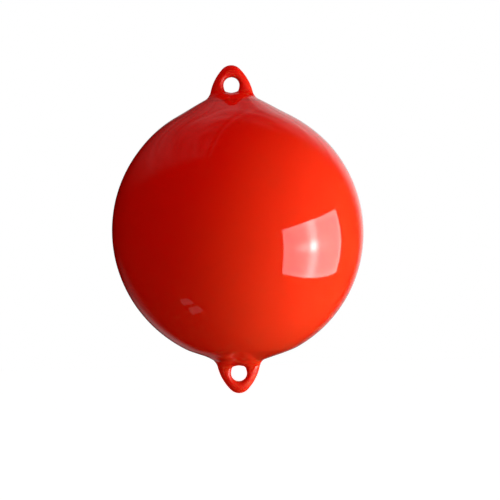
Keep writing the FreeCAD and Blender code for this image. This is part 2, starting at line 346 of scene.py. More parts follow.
def evaluated(thing: bpy.types.Object) -> bpy.types.Mesh:
    """New mesh of an object as its modifiers leave it."""
    depsgraph = bpy.context.evaluated_depsgraph_get()
    return bpy.data.meshes.new_from_object(thing.evaluated_get(depsgraph))


def mesh_object(name: str, points: Iterable, faces: Iterable, material: bpy.types.Material | None,
                sharp: float | None = SHARP) -> bpy.types.Object:
    """Mesh object from points in metres and faces.

    Args:
        name: The object's name.
        points: Places of the corners.
        faces: Corner numbers of each face.
        material: The finish, or None.
        sharp: Angle past which an edge is shaded sharp, or None to shade every face flat.

    Returns:
        The object, at the origin.
    """
    mesh = bpy.data.meshes.new(name)
    mesh.from_pydata([tuple(map(float, p)) for p in points], [], [tuple(f) for f in faces])
    mesh.validate()
    if sharp is not None:
        mesh.shade_smooth()
        mesh.set_sharp_from_angle(angle=sharp)
    if material is not None:
        mesh.materials.append(material)
    return link(bpy.data.objects.new(name, mesh))


def mend(mesh: bpy.types.Mesh, merge: float = 0.0) -> None:
    """Turn a mesh's faces outwards, after merging corners that lie together.

    Args:
        mesh: The mesh.
        merge: Distance in metres within which corners are merged, or 0 to merge none.
    """
    work = bmesh.new()
    work.from_mesh(mesh)
    if merge:
        bmesh.ops.remove_doubles(work, verts=work.verts, dist=merge)
        bmesh.ops.dissolve_degenerate(work, edges=work.edges, dist=merge)
    bmesh.ops.recalc_face_normals(work, faces=work.faces)
    work.to_mesh(mesh)
    work.free()


def lathe(section: Sequence[tuple[float, float]], turns: int,
          lift: Callable[[np.ndarray, np.ndarray, int], np.ndarray] | None = None,
          ) -> tuple[np.ndarray, list[Face]]:
    """Turn a closed section about Z.

    Args:
        section: Corners of the section as (radius, height), in millimetres, anticlockwise seen
            with the radius to the right.
        turns: Number of steps round the axis.
        lift: Extra height at places x and y of one row of the section.

    Returns:
        The points in millimetres and the faces.
    """
    angles = np.arange(turns) * 2 * math.pi / turns
    rows = []
    for row, (radius, height) in enumerate(section):
        x, y = radius * np.cos(angles), radius * np.sin(angles)
        z = np.full(turns, height)
        if lift is not None:
            z = z + lift(x, y, row)
        rows.append(np.stack([x, y, z], axis=1))
    faces: list[Face] = []
    count = len(section)
    for row in range(count):
        below, above = row * turns, (row + 1) % count * turns
        for step in range(turns):
            after = (step + 1) % turns
            faces.append((below + step, below + after, above + after, above + step))
    return np.concatenate(rows), faces


# ---------------------------------------------------------------- finishes

def mottle_group() -> bpy.types.NodeTree:
    """Shader group: a colour that varies a little over the surface, as moulded stock does.

    Returns:
        The group.
    """
    group = Group("Mottle", "ShaderNodeTree", {
        "Place": "Vector", "Colour": (0.5, 0.5, 0.5, 1.0), "Cloud Scale": 12.0,
        "Fleck Scale": 900.0, "Amount": 0.05}, {"Colour": "Color"})
    given = group.given
    fleck_share = 0.4
    cloud = group.noise(given["Place"], given["Cloud Scale"], detail=3.0)
    fleck = group.noise(given["Place"], given["Fleck Scale"], detail=1.0, roughness=0.4)
    swing = ((cloud - 0.5) + (fleck - 0.5) * fleck_share) * (given["Amount"] * 2.0)
    return group.finish(Colour=group.wire("ShaderNodeHueSaturation", {
        "Value": swing + 1.0, "Color": given["Colour"]}))


def handling_group() -> bpy.types.NodeTree:
    """Shader group: roughness with faint rubbed patches and hairline scratches.

    Returns:
        The group.
    """
    group = Group("Handling", "ShaderNodeTree", {
        "Place": "Vector", "Roughness": 0.1, "Rub Scale": 18.0, "Rub Amount": 0.03,
        "Scratch Amount": 0.05}, {"Roughness": "Float"})
    given = group.given
    patch_edge, hair_edge = (0.45, 0.75), (0.74, 0.8)
    lays = ((0.6, 420.0), (-1.1, 300.0))        # turn of each set of hairs, and how fine it is
    skew, stretch = 0.7, 9.0
    patches = group.smooth_step(
        group.noise(given["Place"], given["Rub Scale"], detail=4.0), *patch_edge)
    hairs: Number = 0.0
    for turn, fine in lays:
        lay = group.wire("ShaderNodeMapping", {
            "Vector": given["Place"], "Rotation": (turn, skew * turn, turn),
            "Scale": (fine, stretch, fine)})
        streak = group.noise(lay, 1.0, detail=0.0)
        hairs = group.math("MAXIMUM", group.smooth_step(streak, *hair_edge), hairs)
    hairs = hairs * patches
    wear = patches * given["Rub Amount"] + hairs * given["Scratch Amount"]
    return group.finish(Roughness=given["Roughness"] + wear)


def moulded_group() -> bpy.types.NodeTree:
    """Shader group: the normal of a moulded surface with a fine grain.

    Returns:
        The group.
    """
    group = Group("Moulded Skin", "ShaderNodeTree", {
        "Place": "Vector", "Grain Scale": 700.0, "Grain Depth": 0.00001}, {"Normal": "Vector"})
    given = group.given
    grain = group.noise(given["Place"], given["Grain Scale"], detail=2.0, roughness=0.45)
    return group.finish(Normal=group.wire("ShaderNodeBump", {
        "Strength": 1.0, "Distance": given["Grain Depth"], "Height": grain}))


def satin_group() -> bpy.types.NodeTree:
    """Shader group: roughness that grows with the distance from a place.

    Returns:
        The group.
    """
    group = Group("Satin Away", "ShaderNodeTree", {
        "Place": "Vector", "Centre": (0.0, 0.0, 0.0), "Start": 0.1, "End": 0.2, "Gloss": 0.05,
        "Satin": 0.05}, {"Roughness": "Float"})
    given = group.given
    apart = group.wire("ShaderNodeVectorMath", {0: given["Place"], 1: given["Centre"]}, "Value",
                       operation="DISTANCE")
    return group.finish(Roughness=group.smooth_step(
        apart, given["Start"], given["End"], given["Gloss"], given["Satin"]))


@dataclass(frozen=True)
class Finish:
    """A moulded plastic or rubber finish, made of the shared groups."""

    name: str
    colour: Point
    roughness: float
    mottle: float = 0.04
    cloud_scale: float = 12.0
    fleck_scale: float = 900.0
    rub_scale: float = 18.0
    rub: float = 0.03
    scratch: float = 0.05
    grain_scale: float = 700.0
    grain_depth: float = 0.0
    index: float = 1.5
    depth: float = 0.0              # how far red light travels inside, in metres
    depth_ratio: Point = (1.0, 0.1, 0.05)
    satin: float | None = None      # roughness far from the ball's centre, if it differs
    satin_start: float = 0.163      # distances from the centre, in metres
    satin_end: float = 0.172

    def material(self, groups: dict[str, bpy.types.NodeTree], centre: Vector) -> bpy.types.Material:
        """Build the material.

        Args:
            groups: The shared shader groups by name.
            centre: Middle of the ball.

        Returns:
            The material.
        """
        material, tree = new_material(self.name)
        place = tree.wire("ShaderNodeTexCoord", output="Object")
        satin = self.roughness if self.satin is None else self.satin
        gloss = tree.wires("ShaderNodeGroup", {
            "Place": place, "Centre": centre, "Start": self.satin_start, "End": self.satin_end,
            "Gloss": self.roughness, "Satin": satin}, node_tree=groups["satin"])
        handling = tree.wires("ShaderNodeGroup", {
            "Place": place, **gloss, "Rub Scale": self.rub_scale, "Rub Amount": self.rub,
            "Scratch Amount": self.scratch}, node_tree=groups["handling"])
        mottle = tree.wires("ShaderNodeGroup", {
            "Place": place, "Colour": (*self.colour, 1.0), "Cloud Scale": self.cloud_scale,
            "Fleck Scale": self.fleck_scale, "Amount": self.mottle}, node_tree=groups["mottle"])
        moulded = tree.wires("ShaderNodeGroup", {
            "Place": place, "Grain Scale": self.grain_scale, "Grain Depth": self.grain_depth},
            node_tree=groups["moulded"])
        skin = tree.wire("ShaderNodeBsdfPrincipled", {
            "Base Color": mottle["Colour"], **handling, **moulded, "IOR": self.index,
            "Subsurface Weight": 1.0 if self.depth else 0.0,
            "Subsurface Radius": self.depth_ratio, "Subsurface Scale": self.depth})
        tree.show(skin)
        return material


# ---------------------------------------------------------------- shape of the skin

def smooth_step(value: np.ndarray, low: float, high: float) -> np.ndarray:
    """Smooth change from 0 to 1 as a value goes from low to high."""
    t = np.clip((value - low) / (high - low), 0.0, 1.0)
    return t * t * (3 - 2 * t)


@dataclass(frozen=True)
class Waist:
    """Narrowing of the skin near a seam, in one direction. Heights are inwards from the seam."""

    share: float
    start: float = 13.0
    end: float = 1.5

    def width(self, height: np.ndarray, seam: float) -> np.ndarray:
        """Width at a height, as a share of the plain width."""
        return 1 - self.share * smooth_step(height, seam - self.start, seam - self.end)

    def vector(self) -> Point:
        """The three sizes as the geometry nodes take them, heights in metres."""
        return self.share, self.start * MM, self.end * MM


@dataclass(frozen=True)
class Skin:
    """Shape of the ball's outside and of the eyes' crowns, in millimetres.

    Heights are measured from the widest circle towards the end that is being shaped, as if
    that end pointed up. The lower end is turned over about Y, so its X runs the other way.
    """

    ball_radius: float = 151.8
    axis_offset: float = 7.3
    wall: float = 3.0
    seam_radius: float = 36.0
    crown_start: float = 21.0       # radius where the shoulder begins to flatten
    crown_flat: float = 17.0        # and where it is level
    reach: dict[End, float] = field(default_factory=lambda: {End.UPPER: 33.0, End.LOWER: 14.0})
    waist: dict[End, tuple[Waist, Waist]] = field(      # along X and along Y
        default_factory=lambda: {End.UPPER: (Waist(-0.02), Waist(0.09, 16.0, -10.0)),
                                 End.LOWER: (Waist(0.09), Waist(0.09))})
    lean_middle: float = 3.05       # how far the ball stands to the right of the eyes
    lean_rate: float = -0.009       # and how that changes with height
    lean_fade: dict[End, tuple[float, float]] = field(
        default_factory=lambda: {End.UPPER: (95.0, 152.0), End.LOWER: (147.5, 157.5)})

    @property
    def meridian(self) -> float:
        """Radius of the meridian's arc."""
        return self.ball_radius + self.axis_offset

    def slope(self, end: End) -> float:
        """Angle of the straight shoulder below the horizontal."""
        return math.asin((self.seam_radius + self.reach[end] + self.axis_offset) / self.meridian)

    def seam(self, end: End) -> float:
        """Height of the seam between the ball and the eye."""
        slope = self.slope(end)
        return self.meridian * math.cos(slope) + self.reach[end] * math.tan(slope)

    def crown_radius(self, end: End) -> float:
        """Radius of the arc between the shoulder and the crown's flat top."""
        return (self.crown_start - self.crown_flat) / math.sin(self.slope(end))

    def crown(self, end: End) -> float:
        """Height of the crown's flat top."""
        start = self.seam(end) + (self.seam_radius - self.crown_start) * math.tan(self.slope(end))
        return start + self.crown_radius(end) * (1 - math.cos(self.slope(end)))

    def height(self, radius: float, end: End) -> float:
        """Height of the crown at a radius inside the seam.

        Args:
            radius: The radius.
            end: The end of the ball.

        Returns:
            The height.
        """
        slope, arc = self.slope(end), self.crown_radius(end)
        if radius > self.crown_start:
            return self.seam(end) + (self.seam_radius - radius) * math.tan(slope)
        out = max(radius - self.crown_flat, 0.0)
        return self.crown(end) - arc + math.sqrt(arc ** 2 - out ** 2)

    def neck(self, height: np.ndarray, end: End) -> list[np.ndarray]:
        """Widths of the skin along X and Y as shares of its plain width."""
        return [waist.width(height, self.seam(end)) for waist in self.waist[end]]

    def lean(self, height: np.ndarray, end: End) -> np.ndarray:
        """How far the skin stands aside from the axis, along the turned X."""
        aside = self.lean_middle + self.lean_rate * height * end.value
        return end.value * aside * (1 - smooth_step(height, *self.lean_fade[end]))

    def shaped(self, p: np.ndarray, end: End) -> np.ndarray:
        """Places of the plain turned skin, moved to where the real, leaning skin has them."""
        (x, y, z), (wide, deep) = p.T, self.neck(p[:, 2], end)
        return np.stack([x * wide + self.lean(z, end), y * deep, z], axis=1)

    def plain(self, p: np.ndarray, end: End) -> np.ndarray:
        """Places of the real, leaning skin, moved back to the plain turned one."""
        (x, y, z), (wide, deep) = p.T, self.neck(p[:, 2], end)
        return np.stack([(x - self.lean(z, end)) / wide, y / deep, z], axis=1)

    def distance(self, p: np.ndarray, end: End) -> np.ndarray:
        """Rough distance of places from the skin at one end, positive outside.

        Args:
            p: Places, with that end pointing up.
            end: The end of the ball.

        Returns:
            The signed distances.
        """
        x, y, height = self.plain(p, end).T
        radius = np.hypot(x, y)
        slope, arc = self.slope(end), self.crown_radius(end)
        across, along = math.sin(slope), math.cos(slope)
        crown_low = self.crown(end) - arc
        over_flat = height - self.crown(end)
        over_crown = np.hypot(radius - self.crown_flat, height - crown_low) - arc
        over_shoulder = (radius - self.seam_radius) * across + (height - self.seam(end)) * along
        over_arc = np.hypot(radius + self.axis_offset, height) - self.meridian
        past_seam = (radius - self.seam_radius) * along - (height - self.seam(end)) * across
        past_foot = past_seam - self.reach[end] / along
        past_start = past_seam + (self.seam_radius - self.crown_start) / along
        past_crown = radius - self.crown_flat
        return np.where(past_foot > 0, over_arc, np.where(
            past_start > 0, over_shoulder, np.where(past_crown > 0, over_crown, over_flat)))


# ---------------------------------------------------------------- ball

def skin_section(group: Group) -> Wire:
    """Add nodes for the closed section of the ball's skin.

    The section's X is level and 0 at the seams, and its Y points down.

    Args:
        group: The group, with the ball's sizes as inputs.

    Returns:
        The curves of the section.
    """
    size = group.given
    inner_coarse, shoulder_share = 3.0, 9.0     # how many times fewer points these parts have
    high, low = (math.pi / 2 - size[f"{end} Slope"] for end in ("Upper", "Lower"))
    meridian = size["Ball Radius"] + size["Axis Offset"]
    inwards = size["Axis Offset"] + size["Seam Radius"]
    seams, parts = {}, []
    for side, radius, thickness, rows in (
        ("outer", meridian, 0.0, size["Rows"]),
        ("inner", meridian - size["Wall"], size["Wall"], size["Rows"] / inner_coarse),
    ):
        arc = group.wire("GeometryNodeCurveArc", {
            "Resolution": rows, "Radius": radius, "Start Angle": high * -1.0,
            "Sweep Angle": high + low}, mode="RADIUS")
        curves = [group.transform(arc, group.vector(inwards * -1.0))]
        for end, angle, sign in (("Upper", high, -1.0), ("Lower", low, 1.0)):
            drop = group.math("DIVIDE", thickness, group.math("COSINE", size[f"{end} Slope"]))
            seam = group.vector(0.0, (size[f"{end} Seam"] - drop) * sign)
            foot = group.vector(radius * group.math("COSINE", angle) - inwards,
                                radius * group.math("SINE", angle) * sign)
            start, stop = (seam, foot) if end == "Upper" else (foot, seam)
            line = group.wire("GeometryNodeCurvePrimitiveLine", {"Start": start, "End": stop})
            curves.append(group.wire("GeometryNodeResampleCurve", {
                "Curve": line, "Count": rows / shoulder_share}, mode="COUNT"))
            seams[side, end] = seam
        whole = group.join(curves)
        if side == "inner":
            whole = group.wire("GeometryNodeReverseCurve", {"Curve": whole})
        parts.append(whole)
    for end, first, second in (("Upper", "inner", "outer"), ("Lower", "outer", "inner")):
        parts.append(group.wire("GeometryNodeCurvePrimitiveLine", {
            "Start": seams[first, end], "End": seams[second, end]}))
    return group.join(parts)


def settled_skin(group: Group, geometry: Wire) -> Wire:
    """Add nodes that give the turned ball its real shape.

    It leans a little to one side of the eyes, it is drawn in towards its seams, and its skin
    is faintly uneven away from them.

    Args:
        group: The group, with the ball's sizes as inputs.
        geometry: The plain turned ball.

    Returns:
        The ball's geometry.
    """
    size = group.given
    even_seam = 0.03                # how far from a seam the unevenness begins to fade
    place = group.wire("GeometryNodeInputPosition")
    x, y, z = group.parts(place)
    lean: Number = size["Lean Middle"] + z * size["Lean Rate"]
    width: dict[str, Number] = {"X": 1.0, "Y": 1.0}
    hold: Number = 1.0
    for end, sign in (("Upper", 1.0), ("Lower", -1.0)):
        height, seam = z * sign, size[f"{end} Seam"]
        for axis in width:
            share, start, stop = group.parts(size[f"{end} Waist {axis}"])
            width[axis] -= share * group.smooth_step(height, seam - start, seam - stop)
        lean *= group.smooth_step(height, size[f"{end} Lean Start"], size[f"{end} Lean End"],
                                  1.0, 0.0)
        hold *= group.smooth_step(height, seam - even_seam, seam, 1.0, 0.0)
    moved = group.vector(x * width["X"] + lean, y * width["Y"], z)
    wave = group.noise(place, size["Wave Scale"], detail=1.0)
    swell = (wave - 0.5) * (size["Wave Depth"] * hold)
    bulge = group.wire("ShaderNodeVectorMath", {
        0: group.wire("GeometryNodeInputNormal"), "Scale": swell}, operation="SCALE")
    return group.wire("GeometryNodeSetPosition", {
        "Geometry": geometry, "Position": moved, "Offset": bulge})


def turned_skin_group(sizes: dict[str, object]) -> bpy.types.NodeTree:
    """Geometry group: the hollow ball, its meridian swept round the axis and cut for the valve.

    Args:
        sizes: The ball's sizes, which are the group's inputs.

    Returns:
        The group.
    """
    group = Group("Turned Skin", "GeometryNodeTree", sizes, {"Geometry": "Geometry"})
    size = group.given
    path = group.wire("GeometryNodeCurvePrimitiveCircle", {
        "Resolution": size["Turns"], "Radius": size["Seam Radius"]})
    swept = group.wire("GeometryNodeCurveToMesh", {
        "Curve": path, "Profile Curve": skin_section(group)})
    merged = group.wire("GeometryNodeMergeByDistance", {
        "Geometry": swept, "Distance": size["Merge"]})
    lifted = group.transform(settled_skin(group, merged), group.vector(z=size["Lift"]))
    plug = group.wire("GeometryNodeMeshCylinder", {
        "Vertices": size["Opening Sides"], "Radius": size["Opening Radius"],
        "Depth": size["Opening Depth"]}, "Mesh")
    tilted = group.transform(plug, size["Opening Place"], group.vector(size["Opening Tilt"]))
    opened = group.wire("GeometryNodeMeshBoolean", {"Mesh 1": lifted, "Mesh 2": tilted},
                        operation="DIFFERENCE", solver="EXACT")
    smooth = group.wire("GeometryNodeSetShadeSmooth", {"Geometry": opened, "Shade Smooth": True},
                        domain="FACE")
    bends = group.wire("FunctionNodeCompare", {
        0: group.wire("GeometryNodeInputMeshEdgeAngle"), 1: SHARP}, operation="GREATER_THAN")
    creased = group.wire("GeometryNodeSetShadeSmooth", {
        "Geometry": smooth, "Selection": bends, "Shade Smooth": False}, domain="EDGE")
    return group.finish(Geometry=group.dressed(creased, size["Finish"]))


@dataclass
class Ball:
    """The hollow vinyl ball: sizes in millimetres, angles in radians."""

    skin: Skin
    lift: float
    turns: int = 288
    rows: int = 132
    wave_depth: float = 0.03
    wave_scale: float = 14.0
    opening_depth: float = 12.0     # of the round cutter that opens the skin for the valve
    opening_sides: int = 96
    merge: float = 0.01

    def build(self, valve: "Valve", finish: bpy.types.Material) -> bpy.types.Object:
        """Make the ball, with an opening for the valve.

        Args:
            valve: The valve, whose seat fills the opening.
            finish: The ball's material.

        Returns:
            The ball's object.
        """
        skin = self.skin
        ends: dict[str, object] = {}
        for end in End:
            name = end.name.title()
            start, stop = skin.lean_fade[end]
            ends |= {f"{name} Seam": skin.seam(end) * MM, f"{name} Slope": skin.slope(end),
                     f"{name} Lean Start": start * MM, f"{name} Lean End": stop * MM}
            ends |= {f"{name} Waist {axis}": waist.vector()
                     for axis, waist in zip("XY", skin.waist[end])}
        return grow("ball_skin", turned_skin_group, {
            "Ball Radius": skin.ball_radius * MM, "Axis Offset": skin.axis_offset * MM,
            "Wall": skin.wall * MM, "Seam Radius": skin.seam_radius * MM, **ends,
            "Turns": self.turns, "Rows": self.rows, "Lift": self.lift * MM,
            "Lean Middle": skin.lean_middle * MM, "Lean Rate": skin.lean_rate,
            "Wave Depth": self.wave_depth * MM, "Wave Scale": self.wave_scale,
            "Opening Sides": self.opening_sides, "Opening Radius": valve.seat_radius * MM,
            "Opening Depth": self.opening_depth * MM, "Opening Place": valve.place() * MM,
            "Opening Tilt": -skin.slope(End.UPPER), "Merge": self.merge * MM, "Finish": finish})


# ---------------------------------------------------------------- eyes

def round_union(first: np.ndarray, second: np.ndarray, radius: np.ndarray) -> np.ndarray:
    """Distance to two shapes joined with a fillet of a given radius."""
    fillet = np.hypot(np.maximum(radius - first, 0.0), np.maximum(radius - second, 0.0))
    return np.maximum(radius, np.minimum(first, second)) - fillet


def round_overlap(first: np.ndarray, second: np.ndarray, radius: float) -> np.ndarray:
    """Distance to what two shapes share, with the edge between them rounded."""
    rounding = np.hypot(np.maximum(radius + first, 0.0), np.maximum(radius + second, 0.0))
    return np.minimum(-radius, np.maximum(first, second)) + rounding


@dataclass(frozen=True)
class Cage:
    """Rough cage that an eye is shaped from, and how its corners settle. Millimetres.

    The cage's spokes run outwards from the hole. Some of them point at the ball, where the
    lug's foot is: the middle one, and a few on each side of it.
    """

    levels: int = 4                 # how often each face is divided in four
    spokes: int = 16
    foot_spokes: int = 2            # on each side of the middle one
    wall: float = 5.4               # ring in the hole, below the lug's face
    lip: float = 1.5                # ring at the hole's edge, outwards and below the face
    flat: float = 5.0               # ring on the face, outwards from the hole
    foot_flat: float = 3.4          # the same at the foot
    edge: float = 2.4               # ring at the lug's edge, inwards and below the face
    search: tuple[float, float] = (5.0, 60.0)       # where the lug's edge is sought
    searches: int = 40
    ends: tuple[float, ...] = (27.5, 31.5)          # where each row round the foot ends
    rows: tuple[tuple[tuple[float, float], ...], ...] = (   # and its places, middle one first
        ((0.0, 17.0), (10.0, 15.5), (20.0, 11.5)),
        ((0.0, 25.0), (13.5, 22.0), (25.0, 15.0)))
    seam_angles: tuple[float, ...] = (90.0, 63.0, 34.0)     # of the row on the seam, in degrees
    probe: float = 0.01             # step over which a slope is measured
    least_slope: float = 0.05       # least square of a slope that is trusted
    longest_move: float = 2.0
    easings: int = 6                # how often the corners are evened out
    ease: float = 0.4               # how far each goes towards its neighbours' middle
    first_moves: int = 12
    later_moves: int = 3


@dataclass
class Eye:
    """A moulded rope eye: a ring-like lug that flows into a crown. Millimetres.

    The eye is shaped as if it pointed up, from the ball's widest circle, and then turned.
    """

    skin: Skin
    end: End
    lift: float
    rise: float
    bore_radius: float = 9.6
    corner: float = 1.1             # how far the hole's two corners near the ball stand out
    corner_place: float = 46.0      # degrees from the middle of the foot
    corner_width: float = 17.0
    ring_side: float = 13.35
    ring_top: float = 14.35
    tip_radius: float = 14.4
    flank_radius: float = 58.6
    lug_half_thick: float = 9.5
    bullnose: float = 8.0
    mouth: float = 5.0
    foot: float = 5.0               # fillet between the lug and the crown
    foot_fade: float = 1.5          # height over which it comes and goes at the seam
    least_fillet: float = 0.01
    flange_radius: float = 45.0     # of the root that sits inside the ball
    flange_thick: float = 4.0
    core_radius: float = 22.0
    rough: Cage = Cage()

    def __post_init__(self) -> None:
        """Work out the lug's outline, which is a pointed oval made fatter by the tip's radius."""
        self.hole = self.skin.seam(self.end) + self.rise
        tip = np.array([0.0, self.hole + self.bore_radius + self.ring_top - self.tip_radius])
        beside = np.array([self.bore_radius + self.ring_side, self.hole])
        near, far = self.flank_radius - self.tip_radius, self.flank_radius
        across = beside - tip
        span = float(np.hypot(*across))
        along = (near ** 2 - far ** 2 + span ** 2) / (2 * span)
        out = math.sqrt(near ** 2 - along ** 2)
        across /= span
        square = np.array([-across[1], across[0]])
        centres = [tip + across * along + square * out * side for side in (1, -1)]
        flank = min(centres, key=lambda centre: centre[0])
        self.oval_radius, self.oval_half, self.oval_height = near, -float(flank[0]), float(flank[1])

    def outline(self, x: np.ndarray, z: np.ndarray) -> np.ndarray:
        """Distance from the lug's outline, seen along the hole, negative inside.

        Args:
            x: Places beside the hole's axis.
            z: Their heights.

        Returns:
            The signed distances.
        """
        px, pz = np.abs(x), np.abs(z - self.oval_height)
        point = math.sqrt(self.oval_radius ** 2 - self.oval_half ** 2)
        near_point = (pz - point) * self.oval_half > px * point
        to_point = np.hypot(px, pz - point)
        to_side = np.hypot(px + self.oval_half, pz) - self.oval_radius
        return np.where(near_point, to_point, to_side) - self.tip_radius

    def bore(self, angle: np.ndarray) -> np.ndarray:
        """Radius of the hole in some directions.

        Args:
            angle: The directions, 0 along X and minus a quarter turn towards the ball.

        Returns:
            The radii.
        """
        turn = np.abs(np.angle(np.exp(1j * (angle + math.pi / 2))))
        away = (turn - math.radians(self.corner_place)) / math.radians(self.corner_width)
        return self.bore_radius + self.corner * np.exp(-away ** 2)

    def distance(self, p: np.ndarray) -> np.ndarray:
        """Rough distance of places from the eye's surface, negative inside the vinyl.

        Args:
            p: The places.

        Returns:
            The signed distances.
        """
        x, y, z = p.T
        side = self.outline(x, z) + self.bullnose
        face = np.abs(y) - (self.lug_half_thick - self.bullnose)
        lug = (np.hypot(np.maximum(side, 0.0), np.maximum(face, 0.0))
               + np.minimum(np.maximum(side, face), 0.0) - self.bullnose)
        seam = self.skin.seam(self.end)
        fillet = self.least_fillet + self.foot * smooth_step(
            z, seam - self.foot_fade, seam + self.foot_fade)
        body = round_union(lug, self.skin.distance(p, self.end), fillet)
        dz = z - self.hole
        hole = self.bore(np.arctan2(dz, x)) - np.hypot(x, dz)
        return round_overlap(body, hole, self.mouth)

    def settle(self, p: np.ndarray, moves: int) -> np.ndarray:
        """Move places onto the eye's surface along its steepest slope.

        Args:
            p: The places.
            moves: How often each is moved.

        Returns:
            The settled places.
        """
        rough = self.rough
        for _ in range(moves):
            value = self.distance(p)
            slope = np.stack([
                (self.distance(p + rough.probe * axis) - self.distance(p - rough.probe * axis))
                / (2 * rough.probe) for axis in np.eye(3)], axis=1)
            steep = np.maximum((slope ** 2).sum(axis=1), rough.least_slope)
            move = np.clip(value / steep, -rough.longest_move, rough.longest_move)
            p = p - move[:, None] * slope
        return p

    def edge(self, angles: np.ndarray) -> np.ndarray:
        """Distances from the hole's axis to the lug's edge in some directions.

        Args:
            angles: The directions, in radians.

        Returns:
            The distances.
        """
        low, high = (np.full(len(angles), limit) for limit in self.rough.search)
        for _ in range(self.rough.searches):
            middle = (low + high) / 2
            inside = self.outline(middle * np.cos(angles), self.hole + middle * np.sin(angles)) < 0
            low, high = np.where(inside, middle, low), np.where(inside, high, middle)
        return low

    def cage(self) -> tuple[list[Point], list[Face]]:
        """Make the rough cage of the lug and its crown, open at the seam.

        Returns:
            The corners and the faces.
        """
        rough, half, seam = self.rough, self.lug_half_thick, self.skin.seam(self.end)
        points: list[Point] = []
        faces: list[Face] = []

        def corner(*place: float) -> int:
            """Add a corner and return its number."""
            points.append(place)
            return len(points) - 1

        spokes = range(rough.spokes)
        angles = np.arange(rough.spokes) * 2 * math.pi / rough.spokes - math.pi / 2
        order = range(-rough.foot_spokes, rough.foot_spokes + 1)
        near = {spoke % rough.spokes for spoke in order}
        edges, bores = self.edge(angles), self.bore(angles)

        def on_spoke(spoke: int, radius: float, y: float) -> int:
            """Add a corner on a spoke, at a distance from the hole's axis."""
            x, z = radius * math.cos(angles[spoke]), radius * math.sin(angles[spoke])
            return corner(x, y, self.hole + z)

        def on_seam(angle: float) -> int:
            """Add a corner on the seam, at an angle round it."""
            x, y = self.skin.seam_radius * math.cos(angle), self.skin.seam_radius * math.sin(angle)
            return corner(*self.skin.shaped(np.array([[x, y, seam]]), self.end)[0])

        def on_crown(x: float, y: float) -> int:
            """Add a corner on the crown, above a place."""
            return corner(x, y, self.skin.height(math.hypot(x, y), self.end))

        middle_ring = [on_spoke(s, bores[s], 0.0) for s in spokes]
        edge_ring = {s: on_spoke(s, edges[s], 0.0) for s in spokes if s not in near}
        ends = {side: [on_crown(side * x, 0.0) for x in rough.ends]
                + [on_seam(0.0 if side > 0 else math.pi)] for side in (1, -1)}
        loops: list[dict[tuple[int, int], int]] = [{} for _ in range(len(rough.rows) + 1)]
        for face in (-1, 1):
            wall = [on_spoke(s, bores[s], face * (half - rough.wall)) for s in spokes]
            lip = [on_spoke(s, bores[s] + rough.lip, face * (half - rough.lip)) for s in spokes]
            flat = [on_spoke(s, bores[s] + (rough.foot_flat if s in near else rough.flat),
                             face * half) for s in spokes]
            outer = {s: on_spoke(s, edges[s] - rough.edge, face * (half - rough.edge))
                     for s in spokes if s not in near}
            for offset in order:
                side = 1 if offset > 0 else -1
                for loop, places in zip(loops, rough.rows):
                    x, y = places[abs(offset)]
                    loop[face, offset] = on_crown(side * x, face * y)
                angle = math.radians(rough.seam_angles[abs(offset)])
                angle = angle if offset > 0 else math.pi - angle
                loops[-1][face, offset] = on_seam(face * angle)
                outer[offset % rough.spokes] = loops[0][face, offset]
            for s in spokes:
                t = (s + 1) % rough.spokes
                strips = [(middle_ring, wall), (wall, lip), (lip, flat), (flat, outer)]
                strips = [(a[s], a[t], b[t], b[s]) for a, b in strips]
                if s not in near or t not in near:
                    edge_s, edge_t = (
                        edge_ring.get(n, ends[1 if n == rough.foot_spokes else -1][0])
                        for n in (s, t))
                    strips.append((outer[s], outer[t], edge_t, edge_s))
                faces += strips if face < 0 else [tuple(reversed(strip)) for strip in strips]
            for rank, pair in enumerate(zip(loops, loops[1:])):
                row, next_row = (
                    [ends[-1][rank + n], *[loop[face, o] for o in order], ends[1][rank + n]]
                    for n, loop in enumerate(pair))
                for a, b, c, d in zip(row, row[1:], next_row[1:], next_row):
                    faces.append((a, d, c, b) if face < 0 else (a, b, c, d))
        return points, faces

    def shape(self, work: bmesh.types.BMesh) -> None:
        """Settle the divided cage onto the eye's surface, with evenly spaced corners.

        Args:
            work: The mesh, whose rim is put exactly on the seam.
        """
        rough, skin, end = self.rough, self.skin, self.end
        places = np.array([v.co for v in work.verts], float)
        on_rim = np.array([v.is_boundary for v in work.verts])
        pairs = np.array([[e.verts[0].index, e.verts[1].index] for e in work.edges])

        def pin(p: np.ndarray) -> np.ndarray:
            """Put the rim's places exactly on the seam.

            Args:
                p: The places.

            Returns:
                The same places with the rim's moved.
            """
            rim = p[on_rim]
            rim[:, 2] = skin.seam(end)
            rim = skin.plain(rim, end)
            rim[:, :2] *= (skin.seam_radius / np.hypot(rim[:, 0], rim[:, 1]))[:, None]
            p[on_rim] = skin.shaped(rim, end)
            return p

        places = pin(self.settle(places, rough.first_moves))
        for _ in range(rough.easings):
            total = np.zeros_like(places)
            count = np.zeros(len(places))
            for a, b in (pairs.T, pairs.T[::-1]):
                np.add.at(total, a, places[b])
                np.add.at(count, a, 1)
            eased = places + rough.ease * (total / count[:, None] - places)
            eased[on_rim] = places[on_rim]
            places = pin(self.settle(eased, rough.later_moves))
        for vertex, place in zip(work.verts, places):
            vertex.co = place

    def build(self, name: str, finish: bpy.types.Material) -> bpy.types.Object:
        """Make the eye.

        Args:
            name: The object's name.
            finish: The eye's material.

        Returns:
            The eye's object.
        """
        points, faces = self.cage()
        rough = bpy.data.meshes.new("rough")
        rough.from_pydata(points, [], faces)
        carrier = link(bpy.data.objects.new("rough", rough))
        divide = carrier.modifiers.new("Divide", "SUBSURF")
        divide.levels = divide.render_levels = self.rough.levels
        fine = evaluated(carrier)
        bpy.data.objects.remove(carrier)

